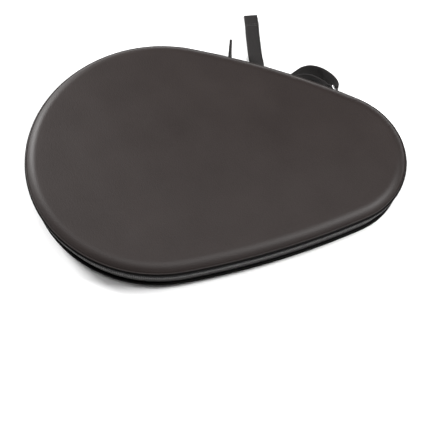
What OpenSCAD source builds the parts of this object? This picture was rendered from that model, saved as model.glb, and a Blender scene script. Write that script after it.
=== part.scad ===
// Egg-shaped semi-hard case for one table-tennis paddle.
// The case stands on its flat underside. +X runs from the broad end to the narrow end, +Y to the fabric
// hinge at the back, +Z up. The origin is on the underside, midway between the two ends.

/* [Outline] */
// Length of the case over its piping
case_l = 300; // [270:1:360]
// Height of the case, underside to face
case_h = 36.5; // [33:0.5:45]
// Radius of the broad end
broad_r = 106; // [90:1:128]
// Radius of the narrow end
narrow_r = 62; // [50:1:75]
// Radius of the two long sides
side_r = 600; // [450:10:900]
// How far the bottom panel is set in under the lid
base_inset = 3; // [2:0.5:4]

/* [Panels] */
// Thickness of the moulded leather skin
skin_t = 1; // [0.6:0.1:1.4]
// Width of the rolled shoulder
shoulder_w = 8; // [6:0.5:11]
// Height of the rolled shoulder
shoulder_h = 4; // [3:0.25:5]
// Depth of the bottom panel's rolled edge
base_shoulder_h = 7; // [5:0.25:8]
// Thickness of the turned edge lip
lip_t = 0.8; // [0.5:0.1:1.2]
// Thickness of the foam boards
board_t = 2.4; // [1.5:0.1:3]
// Thickness of the textile lining
lining_t = 0.5; // [0.3:0.1:0.8]
// Diameter of the piping
piping_d = 2.5; // [1.8:0.1:3]

/* [Side wall] */
// Thickness of the woven wall fabric and the hinge panel
fabric_t = 0.6; // [0.4:0.1:0.9]
// Thickness of the wall foam
wall_foam_t = 1.9; // [1.5:0.1:2.5]
// Length of the fabric hinge along the back
hinge_w = 94; // [70:1:110]
// Shift of the hinge from the middle of the back side towards the narrow end
hinge_shift = 8; // [0:1:16]
// Height of the hinge line above the parting of the zip
hinge_rise = 3; // [2.5:0.25:4]

/* [Zip] */
// Height of the parting between the two coils
zip_z = 25; // [22:0.5:30]
// Height of one coil
coil_h = 1.6; // [1.4:0.1:1.8]
// Depth of the coils in front of the tape
coil_t = 1.3; // [1.1:0.1:1.4]
// Gap between the two coils, where the slider's post runs
coil_gap = 0.8; // [0.7:0.1:1]
// Thickness of the zip tape
tape_t = 0.8; // [0.5:0.1:0.9]
// Length of the slider
slider_l = 11; // [9:0.5:13]
// Thickness of the slider's plates
plate_t = 1; // [0.8:0.1:1.2]
// Length of the moulded pull
pull_l = 24; // [18:1:30]

/* [Strap] */
// Width of the strap webbing
webbing_w = 12; // [10:0.5:12.5]
// Thickness of one layer of webbing
webbing_t = 1.2; // [1:0.1:1.4]
// Wire diameter of the ring
ring_wire = 1.8; // [1.4:0.1:2]
// Depth of the ring, bar to bow, between wire centres
ring_depth = 11; // [9:0.5:13]
// Length of the tab at the zip's end
end_tab_l = 29; // [15:1:32]

/* [Hidden] */
$fn = 48;

// Clearances: between sewn layers, and round pieces that slide or swing
ply_gap = 0.05;
slide_gap = 0.25;
pin_gap = 0.06;

// Centres of the outline's four arcs
broad_x = broad_r - case_l / 2;
narrow_x = case_l / 2 - narrow_r;
centres_d = narrow_x - broad_x;
side_dx = ((side_r - broad_r) ^ 2 - (side_r - narrow_r) ^ 2 + centres_d ^ 2) / (2 * centres_d);
side_x = broad_x + side_dx;
side_y = sqrt((side_r - broad_r) ^ 2 - side_dx ^ 2);
// Direction of the outline's normal where the side meets the broad end and the narrow end
broad_a = atan2(side_y, -side_dx);
narrow_a = atan2(side_y, centres_d - side_dx);
side_a = broad_a - narrow_a;

// Steps along the narrow end, a side and the broad end
narrow_n = 16;
side_n = 5;
broad_n = 34;
even_stops = concat(
  [for (i = [0 : narrow_n - 1]) narrow_a * (2 * i / narrow_n - 1)],
  [for (i = [0 : side_n - 1]) narrow_a + side_a * i / side_n],
  [for (i = [0 : broad_n - 1]) broad_a + (360 - 2 * broad_a) * i / broad_n],
  [for (i = [0 : side_n - 1]) 360 - broad_a + side_a * i / side_n]);

// Middle of the fabric hinge and its two ends, which become steps of their own
hinge_a = (broad_a + narrow_a) / 2 - hinge_shift / side_r * 180 / PI;
hinge_half_a = hinge_w / 2 / side_r * 180 / PI;
hinge_left_a = hinge_a + hinge_half_a;
hinge_right_a = hinge_a - hinge_half_a;
min_step = 0.2;
stops = [for (i = [0 : len(even_stops) - 1])
  let (a = even_stops[i], next = i + 1 < len(even_stops) ? even_stops[i + 1] : even_stops[0] + 360)
  for (s = concat([a],
    [for (h = [hinge_right_a, hinge_left_a]) if (h > a + min_step && h < next - min_step) h])) s];

// Heights of the seams
lip_z = case_h - shoulder_h;
seam_z = lip_z - lip_t;
base_seam_z = base_shoulder_h + lip_t;
piping_r = piping_d / 2;
lip_in = 1.1;
shoulder_in = 2;
flange_in = piping_d + 1.1;

// Depths of the wall's layers behind the outline, at the top; their feet lean in with the bottom panel
tape_in = piping_d + 3 * ply_gap;
tape_back = tape_in + tape_t;
coil_out = tape_in - ply_gap - coil_t;
wall_top = zip_z - coil_gap / 2 - coil_h - 1.6;
wall_foot = base_seam_z + ply_gap;
lean = base_inset + 0.6;
foam_in = tape_in + fabric_t + ply_gap;
lining_in = foam_in + wall_foam_t + ply_gap;
binding_w = 2.2;
binding_t = 0.9;
coil_top = zip_z + coil_gap / 2 + coil_h;
coil_foot = zip_z - coil_gap / 2 - coil_h;

// Hinge line: its height, and how far it lies outside the outline
hinge_z = zip_z + hinge_rise;
hinge_out = 0.6;
// Each coil end stop is 1.6 mm long
stop_a = 1.6 / side_r * 180 / PI;

// Slider, parked where the broad end begins
slider_a = broad_a + 3.5;
slider_h = coil_top - coil_foot + 2 * (slide_gap + plate_t);
slider_foot = coil_foot - slide_gap - plate_t;
bar_r = 0.7;
bar_out = 1.9;
pull_rest = -4;
link_t = 1.2;
link_l = 8;
link_r = 1.4;
link_pin_r = 0.6;
pull_h = 3.4;
pull_root = 1.1;
pull_tip = 0.8;

// Ring: its bar stands upright beside the wall, close to the narrow end of the hinge
ring_at = [hinge_w / 2 - 1, 4.5];
ring_turn = 40;
ring_r = ring_wire / 2;
ring_in_h = webbing_w + 0.2;
ring_corner = 1;
ring_z = ring_in_h / 2 + ring_wire + 0.1;
bow_at = ring_at + (ring_depth) * [-sin(ring_turn), cos(ring_turn)];
strap_foot = ring_z - webbing_w / 2;

// Route of the strap from the ring's bow, beside the hinge's tangent line
outer_run = [[4.2, 2.6], [1.5, 6.5], [-5, 10.5], [-14.5, 13.4], [-23.5, 12.6], [-30, 8.2], [-34.5, 1.6],
  [-39.5, -4.4]];
inner_run = [[-3.8, 0.6], [-10, 2.6], [-20, 3.8], [-28, 1.4], [-34.8, -3.4], [-39.5, -5.6]];
back_run = [[-39.5, -5], [-48, -6.4], [-56, -6.5], [-62.5, -3.5], [-66.5, 2.5]];
tail_run = [[-65.5, -0.5], [-70.5, 8.5], [-76.5, 20], [-85, 39], [-92.4, 55.2]];

function arc_at(a) = let (b = a - 360 * floor((a + 180) / 360))
  abs(b) <= narrow_a ? [narrow_x, 0, narrow_r]
  : abs(b) >= broad_a ? [broad_x, 0, broad_r]
  : b > 0 ? [side_x, -side_y, side_r] : [side_x, side_y, side_r];
// Point of the outline where its normal has direction a, moved in by u
function rim(a, u) = let (s = arc_at(a)) [s[0] + (s[2] - u) * cos(a), s[1] + (s[2] - u) * sin(a)];
// Normal directions from a0 round to a1, through every stop between them
function stretch(a0, a1) = concat([a0],
  [for (t = [0, 360]) for (s = stops) if (s + t > a0 + min_step && s + t < a1 - min_step) s + t], [a1]);
zip_stretch = stretch(hinge_left_a, hinge_right_a + 360);
coil_stretch = stretch(hinge_left_a + 1.2 * stop_a, hinge_right_a + 360 - 1.2 * stop_a);
hinge_stretch = stretch(hinge_right_a, hinge_left_a);

// Flat shape between depths u0 and u1, all the way round or along a stretch
module band(u0, u1, z0, z1, angles = []) {
  round = len(angles) == 0;
  at = round ? stops : angles;
  translate([0, 0, z0]) linear_extrude(z1 - z0)
    if (round) difference() {
      polygon([for (a = at) rim(a, u0)]);
      polygon([for (a = at) rim(a, u1)]);
    } else polygon(concat([for (a = at) rim(a, u0)], [for (i = [len(at) - 1 : -1 : 0]) rim(at[i], u1)]));
}
module sheet(u, z0, z1) translate([0, 0, z0]) linear_extrude(z1 - z0) polygon([for (a = stops) rim(a, u)]);

// Section of [depth, height] points, anticlockwise, carried round the outline
module swept(section, angles = []) {
  round = len(angles) == 0;
  at = round ? stops : angles;
  n = len(at);
  m = len(section);
  points = [for (a = at) for (p = section) concat(rim(a, p[0]), p[1])];
  sides = [for (i = [0 : n - (round ? 1 : 2)]) for (j = [0 : m - 1])
    let (k = (i + 1) % n, l = (j + 1) % m) [i * m + j, k * m + j, k * m + l, i * m + l]];
  ends = round ? [] : [[for (j = [0 : m - 1]) j], [for (j = [m - 1 : -1 : 0]) (n - 1) * m + j]];
  polyhedron(points, concat(sides, ends), convexity = 6);
}

// Like swept, but the section's first and last points are closed by flat sheets
module tray(section) {
  n = len(stops);
  m = len(section);
  points = [for (a = stops) for (p = section) concat(rim(a, p[0]), p[1])];
  sides = [for (i = [0 : n - 1]) for (j = [0 : m - 2])
    let (k = (i + 1) % n) [i * m + j, k * m + j, k * m + j + 1, i * m + j + 1]];
  sheets = [[for (i = [n - 1 : -1 : 0]) i * m], [for (i = [0 : n - 1]) i * m + m - 1]];
  polyhedron(points, concat(sides, sheets), convexity = 6);
}

// Moulded panel: flat face, shoulder rolled down by h and thin lip, in by u from the outline
module panel(u, h) {
  r = (shoulder_w ^ 2 + h ^ 2) / (2 * h);
  roll = asin(shoulder_w / r);
  centre = [u + shoulder_in + shoulder_w, case_h - r];
  outside = [for (i = [0 : 4]) centre + r * [-sin(roll * i / 4), cos(roll * i / 4)]];
  inside = [for (i = [3 : -1 : 0]) centre + (r - skin_t) * [-sin(roll * i / 4), cos(roll * i / 4)]];
  lip_top = case_h - h;
  tray(concat(outside,
    [[u + lip_in, lip_top], [u + lip_in, lip_top - lip_t], [u + flange_in, lip_top - lip_t]],
    inside));
}
// Foam board that fills the panel under its skin
module board(u) {
  top = case_h - skin_t - ply_gap;
  foot = top - board_t - lining_t;
  tray([[u + shoulder_in + shoulder_w + 0.5, top], [u + flange_in + 3.4, top - 1],
    [u + flange_in + 1.2, foot]]);
}
module lining(u) sheet(u + flange_in + 1.3, case_h - skin_t - board_t - 2 * lining_t - 3 * ply_gap,
  case_h - skin_t - board_t - lining_t - 2 * ply_gap);
module upside_down() translate([0, 0, case_h]) mirror([0, 0, 1]) children();
module piping(u, z) swept([for (i = [0 : 7]) [u + piping_r, z] + piping_r * [cos(45 * i), sin(45 * i)]]);
// Leaning layer of the wall: from depth u at the top to u + lean at the foot
module leaning(u, t, angles = [])
  swept([[u, wall_top], [u + lean, wall_foot], [u + lean + t, wall_foot], [u + t, wall_top]], angles);

// Frames: x along the outline towards the narrow end, y outwards
module at_rim(a) translate(concat(rim(a, 0), 0)) rotate([0, 0, a - 90]) children();
module at_slider() at_rim(slider_a) children();
module at_bow() at_rim(hinge_a) translate(concat(bow_at, 0)) children();

// Base

module base_cover() color("#3d3835") upside_down() panel(base_inset, base_shoulder_h);
module base_piping() color("#171514") piping(base_inset, base_seam_z + piping_r + ply_gap);
module base_board() color("#d9d6cf") upside_down() board(base_inset);
module base_lining() color("#2b2a2c") upside_down() lining(base_inset);
module wall_fabric() color("#1f1d1c") leaning(tape_in, fabric_t, zip_stretch);
module wall_foam() color("#c9c6c0") leaning(foam_in, wall_foam_t);
module wall_lining() color("#2b2a2c") leaning(lining_in, lining_t);
module wall_binding() color("#1a1918")
  band(lining_in + lining_t + 0.6, lining_in + lining_t + 0.6 + lining_t, wall_top - binding_w, wall_top);
module zip_tape_lower() color("#232120")
  band(tape_in, tape_back, wall_top + ply_gap, zip_z - coil_gap / 2, zip_stretch);
module zip_coil_lower() color("#2e2b2a")
  band(coil_out, coil_out + coil_t, coil_foot, zip_z - coil_gap / 2, coil_stretch);

// A stop is crimped on the coil at each end of the zip
module zip_stops(z0, z1)
  for (a = [hinge_left_a + 0.1 * stop_a, hinge_right_a - 1.1 * stop_a])
    band(coil_out, coil_out + coil_t, z0, z1, [a, a + stop_a]);
module zip_stops_lower() color("#8d8d8f") zip_stops(coil_foot, zip_z - coil_gap / 2);

// The hinge panel is one strip of fabric; its two halves meet at the hinge line
module hinge_panel_lower() color("#1c1a19") swept([[tape_in, hinge_z - ply_gap], [tape_in, wall_top],
  [tape_in + lean, wall_foot], [tape_in + lean + fabric_t, wall_foot], [tape_in + fabric_t, wall_top],
  [tape_in + fabric_t, hinge_z - ply_gap]], hinge_stretch);
module hinge_panel_upper() color("#1c1a19")
  band(tape_in, tape_in + fabric_t, hinge_z + ply_gap, seam_z - 2 * ply_gap, hinge_stretch);

// Root of a folded tab: it follows the leaning wall down to the piping and passes outside the piping
module tab_root(t, out, z0, z1) {
  over_piping = base_seam_z + piping_d + 4 * ply_gap;
  function wall_y(z) = ply_gap - tape_in - lean * (wall_top - z) / (wall_top - wall_foot);
  rotate([90, 0, 90]) linear_extrude(t, center = true) polygon([[0.1 - base_inset, z0], [out, z0], [out, z1],
    [wall_y(z1), z1], [wall_y(over_piping), over_piping], [0.1 - base_inset, over_piping]]);
}

// Folded webbing tab in the upright seam where the zip ends
end_tab_t = 2 * webbing_t;
end_tab_h = 11.5;
end_tab_z = wall_foot - 0.5;
end_tab_turn = 15;
module zip_end_tab() color("#1d1b1a") at_rim(hinge_left_a) {
  tab_root(end_tab_t, 0.5, end_tab_z, end_tab_z + end_tab_h);
  translate([0, 0, end_tab_z]) rotate([0, 0, end_tab_turn]) {
    translate([-end_tab_t / 2, 0, 0]) cube([end_tab_t, end_tab_l - end_tab_t / 2, end_tab_h]);
    cylinder(h = end_tab_h, d = end_tab_t);
    translate([0, end_tab_l - end_tab_t / 2, 0]) cylinder(h = end_tab_h, d = end_tab_t);
  }
}

// Webbing tab folded round the ring's bar, its tail held in the seam at the hinge's end
tab_eye = ring_r + pin_gap;
ring_off = ring_at - side_r * [sin(hinge_half_a), cos(hinge_half_a) - 1];
ring_root = [ring_off[0] * cos(hinge_half_a) - ring_off[1] * sin(hinge_half_a),
  ring_off[0] * sin(hinge_half_a) + ring_off[1] * cos(hinge_half_a)];
module ring_tab() color("#1d1b1a") at_rim(hinge_right_a) difference() {
  union() {
    translate([ring_root[0], 0, 0]) tab_root(2 * webbing_t, ring_root[1], strap_foot, strap_foot + webbing_w);
    translate([ring_root[0], ring_root[1], strap_foot]) cylinder(h = webbing_w, r = tab_eye + webbing_t);
  }
  translate([ring_root[0], ring_root[1], 0]) cylinder(h = strap_foot + webbing_w + 1, r = tab_eye);
}

// Elastic band for the paddle's handle, sewn flat to the base lining
band_x = 72;
band_w = 25;
band_l = 92;
band_t = 1.2;
base_floor_z = skin_t + board_t + 2 * lining_t + 4 * ply_gap;
module paddle_band() color("#26292e")
  translate([band_x, 0, base_floor_z + band_t / 2]) cube([band_w, band_l, band_t], center = true);

// Lid

module lid_cover() color("#403a38") panel(0, shoulder_h);
module lid_piping() color("#171514") piping(0, seam_z - piping_r - ply_gap);
module lid_board() color("#d9d6cf") board(0);
module lid_lining() color("#2b2a2c") lining(0);
module lid_binding() color("#1a1918")
  band(tape_back + 0.1, tape_back + 0.1 + binding_t, seam_z - binding_w - 0.5, seam_z - 2 * ply_gap);

// The upper chain is parted where the slider is parked
module slider_notch() at_slider()
  translate([-slider_l / 2 - 0.6, -10, 0]) cube([slider_l + 1.2, 20, slider_foot + slider_h + 0.35]);
module zip_tape_upper() color("#232120") difference() {
  band(tape_in, tape_back, zip_z + coil_gap / 2, seam_z - 2 * ply_gap, zip_stretch);
  slider_notch();
}
module zip_coil_upper() color("#2e2b2a") difference() {
  band(coil_out, coil_out + coil_t, zip_z + coil_gap / 2, coil_top, coil_stretch);
  slider_notch();
}
module zip_stops_upper() color("#8d8d8f") zip_stops(zip_z + coil_gap / 2, coil_top);

// Ball pocket of mesh over the lid's broad end, with an elastic mouth
pocket_x = -38;
pocket_in = 12;
elastic_w = 9;
elastic_t = 1.2;
pocket_top = case_h - skin_t - board_t - 2 * lining_t - 4 * ply_gap;
module mesh_pocket() color("#2a2a2c") intersection() {
  sheet(pocket_in, pocket_top - 0.6, pocket_top);
  translate([pocket_x - 400, -200, 0]) cube([400, 400, 100]);
}
module pocket_elastic() color("#202022") intersection() {
  sheet(pocket_in, pocket_top - elastic_t, pocket_top);
  translate([pocket_x + ply_gap, -200, 0]) cube([elastic_w, 400, 100]);
}

// Zip slider: two plates joined by a thin post between the coils, lips over them, and a bridge
module slider_body() color("#2a2a2b") at_slider() {
  front = -coil_out + slide_gap;
  back = -tape_back - 2 * slide_gap;
  lip_d = coil_t - slide_gap;
  post_t = coil_gap - 0.3;
  translate([-slider_l / 2, front, slider_foot]) cube([slider_l, plate_t, slider_h]);
  for (z = [slider_foot, slider_foot + slider_h - plate_t])
    translate([-slider_l / 2, front - lip_d, z]) cube([slider_l, lip_d + 0.1, plate_t]);
  translate([-slider_l / 2, back - plate_t, slider_foot + plate_t])
    cube([slider_l, plate_t, slider_h - 2 * plate_t]);
  translate([slider_l / 2 - 4, back - 0.1, zip_z - post_t / 2]) cube([3, front - back + 0.2, post_t]);
  // Bridge: an upright bar on two cheeks
  translate([-1, bar_out, zip_z - 2]) cylinder(h = 4, r = bar_r);
  for (z = [zip_z - 2.6, zip_z + 1.4])
    translate([-2, front + plate_t - 0.1, z]) cube([2, bar_out + bar_r - front - plate_t + 0.1, 1.2]);
}

// Frame on the bridge's bar, turned so that the pull follows the round wall
module at_bar() at_slider() translate([-1, bar_out, zip_z]) rotate([0, 0, pull_rest]) children();

// Flat link on the bridge's bar, with an eye at each end
module pull_link() color("#8b8b8d") at_bar() translate([0, 0, -link_t / 2]) difference() {
  union() {
    cylinder(h = link_t, r = link_r);
    translate([link_l, 0, 0]) cylinder(h = link_t, r = link_r);
    translate([0, -1, 0]) cube([link_l, 2, link_t]);
  }
  translate([0, 0, -1]) cylinder(h = link_t + 2, r = bar_r + pin_gap);
  translate([link_l, 0, -1]) cylinder(h = link_t + 2, r = link_pin_r);
}

// Moulded pull: a tapered bar that grips the link's far eye
module zip_pull() color("#1b1a1a") at_bar() translate([link_l, 0, 0]) difference() {
  union() {
    translate([0, 0, -pull_h / 2]) linear_extrude(pull_h)
      polygon([[-pull_root, -pull_root], [pull_l - 1, -pull_tip], [pull_l - 1, pull_tip],
        [-pull_root, pull_root]]);
    translate([pull_l - 1, 0, -pull_h / 2]) cylinder(h = pull_h, r = pull_tip);
  }
  difference() {
    translate([-4, -3, -link_t / 2 - ply_gap]) cube([4 + link_r + 0.6, 6, link_t + 2 * ply_gap]);
    translate([0, 0, -1]) cylinder(h = 2, r = link_pin_r - pin_gap / 2);
  }
}

// Ring and strap

// D-ring: an upright bar, two legs and a bow, all of round wire
module d_ring() color("#c3c4c6") at_rim(hinge_a) translate([ring_at[0], ring_at[1], ring_z])
  rotate([0, 0, ring_turn]) {
    half = (ring_in_h + ring_wire) / 2;
    cylinder(h = 2 * half, r = ring_r, center = true);
    translate([0, ring_depth, 0]) cylinder(h = 2 * (half - ring_corner), r = ring_r, center = true);
    for (s = [0, 1]) mirror([0, 0, s]) {
      translate([0, 0, half]) rotate([-90, 0, 0]) cylinder(h = ring_depth - ring_corner, r = ring_r);
      translate([0, 0, half]) sphere(ring_r);
      translate([0, ring_depth - ring_corner, half - ring_corner]) rotate([90, 0, 90])
        rotate_extrude(angle = 90) translate([ring_corner, 0]) circle(ring_r);
    }
  }

// Flat outline of one or two layers of webbing that follow a route
function side_of(route, i) = let (
  n = len(route) - 1,
  d = route[min(i + 1, n)] - route[max(i - 1, 0)]) [-d[1], d[0]] / norm(d);
module ribbon(route, t) polygon(concat(
  [for (i = [0 : len(route) - 1]) route[i] + side_of(route, i) * t / 2],
  [for (i = [len(route) - 1 : -1 : 0]) route[i] - side_of(route, i) * t / 2]));

// Closed loop of webbing: it stands on edge beside the case and lies flat at its end
module wrist_strap() color("#232120") at_bow() {
  translate([0, 0, strap_foot]) linear_extrude(webbing_w) difference() {
    union() {
      circle(ring_r + pin_gap + webbing_t);
      ribbon(concat([[0.6, 1.4]], outer_run), webbing_t);
      ribbon(concat([[-1, 1]], inner_run), webbing_t);
      ribbon(back_run, 2 * webbing_t);
    }
    circle(ring_r + pin_gap);
  }
  translate([0, 0, 0.3]) linear_extrude(2 * webbing_t) ribbon(tail_run, webbing_w);
}

base_cover();
base_piping();
base_board();
base_lining();
wall_fabric();
wall_foam();
wall_lining();
wall_binding();
zip_tape_lower();
zip_coil_lower();
zip_stops_lower();
hinge_panel_lower();
zip_end_tab();
ring_tab();
paddle_band();
lid_cover();
lid_piping();
lid_board();
lid_lining();
lid_binding();
zip_tape_upper();
zip_coil_upper();
zip_stops_upper();
hinge_panel_upper();
mesh_pocket();
pocket_elastic();
slider_body();
pull_link();
zip_pull();
d_ring();
wrist_strap();
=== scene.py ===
import math

import bmesh
import bpy
import numpy as np
from mathutils import Matrix


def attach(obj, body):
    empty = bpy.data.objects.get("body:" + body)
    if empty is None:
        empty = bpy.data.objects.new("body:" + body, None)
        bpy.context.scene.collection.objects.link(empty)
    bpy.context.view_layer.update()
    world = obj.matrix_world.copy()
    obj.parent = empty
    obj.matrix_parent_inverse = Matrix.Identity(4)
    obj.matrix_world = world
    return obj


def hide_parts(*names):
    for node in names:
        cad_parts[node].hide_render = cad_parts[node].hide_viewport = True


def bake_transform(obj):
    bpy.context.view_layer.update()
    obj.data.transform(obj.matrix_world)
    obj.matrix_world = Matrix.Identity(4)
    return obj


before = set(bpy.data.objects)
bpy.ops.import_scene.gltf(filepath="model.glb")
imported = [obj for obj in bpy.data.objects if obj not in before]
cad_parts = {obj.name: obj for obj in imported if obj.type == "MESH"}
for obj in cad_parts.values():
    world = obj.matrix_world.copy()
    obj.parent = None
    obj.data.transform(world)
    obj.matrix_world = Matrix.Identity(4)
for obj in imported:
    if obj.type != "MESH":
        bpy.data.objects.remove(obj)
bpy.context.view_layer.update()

# ---- Lid panel -------------------------------------------------------------------------------------
# The lid is one sheet of matt leather cloth, heat-moulded over a foam board. Its edge is rolled down in
# a soft shoulder and ends in a thin turned lip, which is sewn to the piping. Sizes are in millimetres,
# and a depth is a distance in from the outline of the lid.
case_l, case_h = 300.0, 36.5
broad_r, narrow_r, side_r = 106.0, 62.0, 600.0
skin_t, lip_t = 1.0, 0.8
shoulder_w, lid_shoulder_h, base_shoulder_h = 8.0, 4.0, 7.0
face_in = 10.0
lid_crown, base_crown = 0.9, -0.1
unevenness = 0.06
broad_x, narrow_x = broad_r - case_l / 2, case_l / 2 - narrow_r
side_dx = (((side_r - broad_r) ** 2 - (side_r - narrow_r) ** 2 + (narrow_x - broad_x) ** 2)
           / (2 * (narrow_x - broad_x)))
side_x, side_y = broad_x + side_dx, math.sqrt((side_r - broad_r) ** 2 - side_dx ** 2)
broad_a = math.atan2(side_y, -side_dx)
narrow_a = math.atan2(side_y, narrow_x - broad_x - side_dx)
turn = 2 * math.pi
arc_ends = np.array([-narrow_a, narrow_a, broad_a, turn - broad_a, turn - narrow_a])
arc_radii = np.array([narrow_r, side_r, broad_r, side_r])
perimeter = float((np.diff(arc_ends) * arc_radii).sum())
arc_ends = np.concatenate([arc_ends, arc_ends[1:] + turn])
arc_runs = np.concatenate([[0], np.cumsum(np.diff(arc_ends) * np.tile(arc_radii, 2))])


def normal_at(run):
    """Direction of the outline's normal at a distance run along it, from the narrow end's first arc:
    the inverse of run = sum of radius * angle over the arcs passed."""
    return np.interp(run, arc_runs, arc_ends)


def run_at(a):
    """Distance along the outline to the point whose normal has direction a."""
    return np.interp(a, arc_ends, arc_runs)


def rim(a, depth, z):
    """Point of the outline whose normal has direction a, moved in by depth, at height z:
    centre of the arc that holds a + (radius - depth) * (cos a, sin a)."""
    a, depth, z = np.broadcast_arrays(a, depth, z)
    b = np.abs((a + math.pi) % turn - math.pi)
    ends = [b <= narrow_a, b >= broad_a]
    r = np.select(ends, [narrow_r, broad_r], side_r) - depth
    x = np.select(ends, [narrow_x, broad_x], side_x) + r * np.cos(a)
    y = np.select(ends, [0, 0], -side_y) * np.sign(np.sin(a)) + r * np.sin(a)
    return np.stack([x, y, z], -1)


def quilt(points, u, v, wrap_u=False, wrap_v=False, ends=False):
    """Quads over an (n, m) grid of points, with u and v, in millimetres of cloth, at their corners.
    A wrapped side joins its last row to its first, and ends closes a tube with two flat faces."""
    n, m = points.shape[:2]
    i, j = np.meshgrid(np.arange(n - 1 + wrap_u), np.arange(m - 1 + wrap_v), indexing="ij")
    corners = [(i, j), (i + 1, j), (i + 1, j + 1), (i, j + 1)]
    quads = np.stack([(a % n) * m + b % m for a, b in corners], -1).reshape(-1, 4).tolist()
    cloth = np.stack([np.stack([u[a], v[b]], -1) for a, b in corners], -2).reshape(-1, 2)
    if ends:
        quads += [list(range(m))[::-1], [(n - 1) * m + k for k in range(m)]]
        cap = np.stack([np.zeros(m), v[:m]], -1)
        cloth = np.concatenate([cloth, cap[::-1], cap])
    return points.reshape(-1, 3), quads, cloth


def sewn(name, quilts, finish, body, smooth=True, merge=0.0):
    """One piece from several quilts: their points in metres, their faces, and the map named cloth.
    Closed shapes then get their doubles merged and their normals turned outwards."""
    points, faces, cloth, first = [], [], [], 0
    for p, f, c in quilts:
        points.append(p)
        faces += [[k + first for k in face] for face in f]
        cloth.append(c)
        first += len(p)
    mesh = bpy.data.meshes.new(name)
    mesh.from_pydata((np.concatenate(points) * 0.001).tolist(), [], faces)
    layer = mesh.uv_layers.new(name="cloth")
    layer.data.foreach_set("uv", (np.concatenate(cloth) * 0.001).astype(np.float32).ravel())
    edit = bmesh.new()
    edit.from_mesh(mesh)
    if merge:
        bmesh.ops.remove_doubles(edit, verts=edit.verts, dist=merge * 0.001)
    bmesh.ops.recalc_face_normals(edit, faces=edit.faces)
    edit.to_mesh(mesh)
    edit.free()
    mesh.polygons.foreach_set("use_smooth", [smooth] * len(mesh.polygons))
    mesh.materials.append(finish.material)
    made = bpy.data.objects.new(name, mesh)
    bpy.context.scene.collection.objects.link(made)
    if body:
        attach(made, body)
    return made


class Wire:
    """An output of a material's node tree. Arithmetic on it adds Math nodes."""

    def __init__(self, finish, socket):
        self.finish, self.socket = finish, socket

    def maths(self, operation, *values):
        return self.finish.node("Math", {"operation": operation}, dict(enumerate(values)))

    def __add__(self, other):
        return self.maths("ADD", self, other)

    def __sub__(self, other):
        return self.maths("SUBTRACT", self, other)

    def __rsub__(self, other):
        return self.maths("SUBTRACT", other, self)

    def __mul__(self, other):
        return self.maths("MULTIPLY", self, other)

    def __pow__(self, other):
        return self.maths("POWER", self, other)

    __radd__, __rmul__ = __add__, __mul__

    def wave(self):
        """Size of the sine: |sin x|."""
        return self.maths("ABSOLUTE", self.maths("SINE", self))


class Finish:
    """A material. node() adds any node and gives one of its outputs, and feed() joins an output to
    the shader. Values that are the same all over are set on the shader's own sockets."""

    def __init__(self, name, **fixed):
        self.material = bpy.data.materials.new(name)
        self.material.use_nodes = True
        self.tree = self.material.node_tree
        self.shader = self.tree.nodes["Principled BSDF"]
        for socket, value in fixed.items():
            self.shader.inputs[socket.replace("_", " ")].default_value = value

    def node(self, kind, settings=(), values=(), out=0):
        made = self.tree.nodes.new("ShaderNode" + kind)
        for key, value in dict(settings).items():
            if key == "stops":
                for k, (at, colour) in enumerate(value):
                    spot = made.color_ramp.elements[k] if k < 2 else made.color_ramp.elements.new(at)
                    spot.position, spot.color = at, colour
            else:
                setattr(made, key, value)
        for key, value in dict(values).items():
            if isinstance(value, Wire):
                self.tree.links.new(value.socket, made.inputs[key])
            else:
                made.inputs[key].default_value = value
        return Wire(self, made.outputs[out])

    def feed(self, socket, wire):
        self.tree.links.new(wire.socket, self.shader.inputs[socket])

    def place(self):
        """Object coordinates."""
        return self.node("TexCoord", out="Object")

    def cloth(self):
        """Distances along and across the cloth, in metres."""
        at = self.node("UVMap", {"uv_map": "cloth"})
        return [self.node("SeparateXYZ", values={0: at}, out=k) for k in (0, 1)]

    def shades(self, mask, dark, light):
        """Base colour from dark to light as mask goes from 0 to 1."""
        self.feed("Base Color", self.node("Mix", {"data_type": "RGBA"}, {
            "Factor": mask, "A": (*dark, 1), "B": (*light, 1)}, "Result"))

    def relief(self, height, depth):
        """Bump of that depth in metres where height goes from 0 to 1."""
        self.feed("Normal", self.node("Bump", values={"Height": height, "Distance": depth}))


def leather(name, dark, light):
    """Matt leather cloth: fine pebbled cells in two sizes, darker in their valleys, with slow cloudy
    changes of shade and gloss."""
    f = Finish(name, Specular_IOR_Level=0.30)
    at = f.place()
    cells = f.node("TexVoronoi", {"feature": "SMOOTH_F1"}, {"Vector": at, "Scale": 1150, "Smoothness": 0.6})
    fine = f.node("TexNoise", {}, {"Vector": at, "Scale": 2600, "Detail": 2.0})
    cloud = f.node("TexNoise", {}, {"Vector": at, "Scale": 26, "Detail": 3.0})
    grain = 1 - cells * 1.3
    f.shades(grain * 0.35 + cloud * 0.75, dark, light)
    f.feed("Roughness", 0.50 - grain * 0.06 + cloud * 0.06)
    f.relief(grain + fine * 0.35, 0.00007)
    return f


black_leather = leather("black_leather", (0.0120, 0.0082, 0.0075), (0.0215, 0.0158, 0.0145))
around = 640
lip = np.array([(1.98, -0.14), (1.86, -0.20), (1.74, -0.10), (1.52, 0.06), (1.24, 0.04), (1.04, -0.14),
                (1.0, -0.40), (1.12, -0.64), (1.4, -0.76), (3.6, -0.76)])


def reach(a):
    """Depth at which the normal with direction a meets the panel's ridge: the radius on the two ends,
    and side_r - side_y / |sin a| on the sides."""
    b = np.abs((a + math.pi) % turn - math.pi)
    return np.select([b <= narrow_a, b >= broad_a], [narrow_r, broad_r],
                     side_r - side_y / np.maximum(np.abs(np.sin(a)), 0.5))


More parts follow.
